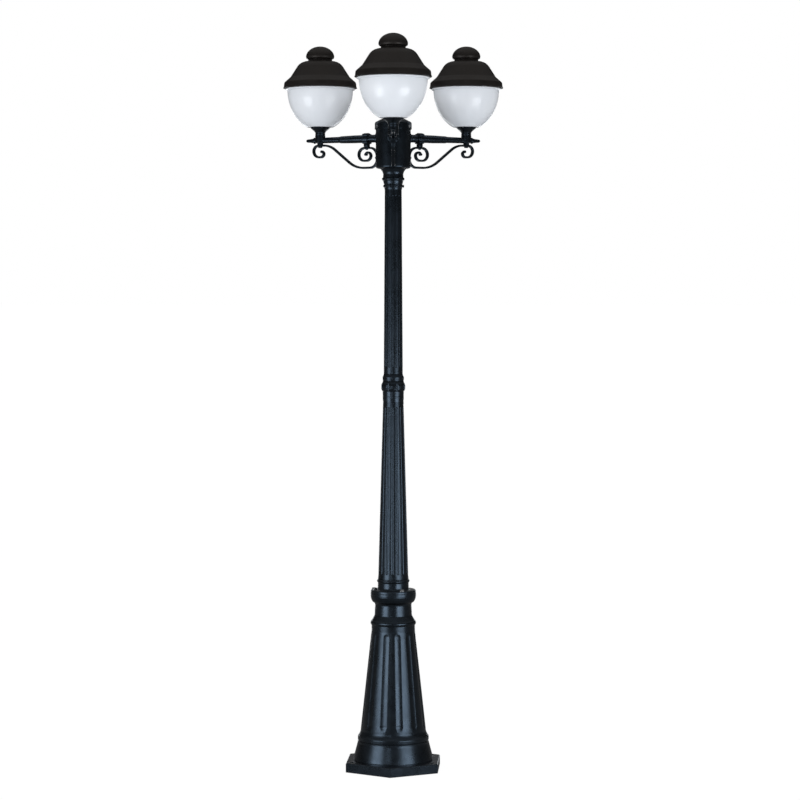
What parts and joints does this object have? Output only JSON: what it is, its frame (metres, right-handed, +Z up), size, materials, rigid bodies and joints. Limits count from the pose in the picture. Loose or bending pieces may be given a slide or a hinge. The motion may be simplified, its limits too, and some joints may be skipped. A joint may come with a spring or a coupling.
{
  "type": "garden post light",
  "caption": "Fluted garden post on a hexagonal plate, with scroll-braced arms that carry frosted globes under mushroom canopies, and a service door in its bell base.",
  "frame": {"origin": "on the ground at the post's axis, the centre of the anchor holes", "axes": "+Z up the post, -Y along the front arm, +X to the right seen from the front"},
  "size_m": [0.7354, 0.67, 2.3998],
  "materials": {
    "black_paint": "gloss",
    "canopy_paint": "satin",
    "globe_opal": "satin",
    "bulb_opal": "satin",
    "plated_steel": "satin",
    "rubber": "matte",
    "porcelain": "gloss",
    "terminal_plastic": "matte"
  },
  "bodies": {
    "post": {"base_plate": "black_paint", "base_bell": "black_paint", "lower_column": "black_paint", "mid_knuckle": "black_paint", "upper_column": "black_paint", "neck_collar": "black_paint", "hub_body": "black_paint", "hub_cap": "black_paint", "arm_front": "black_paint", "arm_right": "black_paint", "arm_left": "black_paint", "arm_collar_front": "black_paint", "arm_collar_right": "black_paint", "arm_collar_left": "black_paint", "scroll_front": "black_paint", "scroll_right": "black_paint", "scroll_left": "black_paint", "gallery_front": "black_paint", "gallery_right": "black_paint", "gallery_left": "black_paint", "scroll_bolts": "black_paint", "scroll_screws": "black_paint", "gallery_screws": "black_paint", "base_bolts": "plated_steel", "door_hinge_pin": "plated_steel", "terminal_bracket": "plated_steel", "bracket_screws": "plated_steel", "column_bolts": "plated_steel", "set_screws": "plated_steel", "hub_bolts": "plated_steel", "hub_cap_screws": "plated_steel", "arm_locknuts": "plated_steel", "canopy_bridge_front": "plated_steel", "canopy_bridge_right": "plated_steel", "canopy_bridge_left": "plated_steel", "cable_grommet": "rubber", "neck_seals": "rubber", "globe_gasket_front": "rubber", "globe_gasket_right": "rubber", "globe_gasket_left": "rubber", "terminal_block": "terminal_plastic", "hub_terminal": "terminal_plastic", "lampholder_front": "porcelain", "lampholder_right": "porcelain", "lampholder_left": "porcelain", "bulb_front": "bulb_opal", "bulb_right": "bulb_opal", "bulb_left": "bulb_opal", "globe_front": "globe_opal", "globe_right": "globe_opal", "globe_left": "globe_opal"},
    "door": {"service_door": "black_paint"},
    "lock": {"door_lock": "plated_steel"},
    "canopy_front": {"canopy_front": "canopy_paint", "finial_front": "canopy_paint"},
    "canopy_right": {"canopy_right": "canopy_paint", "finial_right": "canopy_paint"},
    "canopy_left": {"canopy_left": "canopy_paint", "finial_left": "canopy_paint"}
  },
  "joints": [
    {"name": "door_hinge", "type": "hinge", "parent": "post", "child": "door", "pos_m": [-0.04409, 0.08404, 0.2705], "axis": [-0.0076, -0.1276, 0.9918], "range_deg": [0, 100]},
    {"name": "lock_turn", "type": "hinge", "parent": "door", "child": "lock", "pos_m": [0.03417, 0.0862, 0.2705], "axis": [-0.3663, -0.9241, -0.1087], "range_deg": [0, 90]},
    {"name": "canopy_lift_front", "type": "slide", "parent": "post", "child": "canopy_front", "axis": [0, 0, 1], "range_m": [0, 0.15]},
    {"name": "canopy_lift_right", "type": "slide", "parent": "post", "child": "canopy_right", "axis": [0, 0, 1], "range_m": [0, 0.15]},
    {"name": "canopy_lift_left", "type": "slide", "parent": "post", "child": "canopy_left", "axis": [0, 0, 1], "range_m": [0, 0.15]}
  ]
}
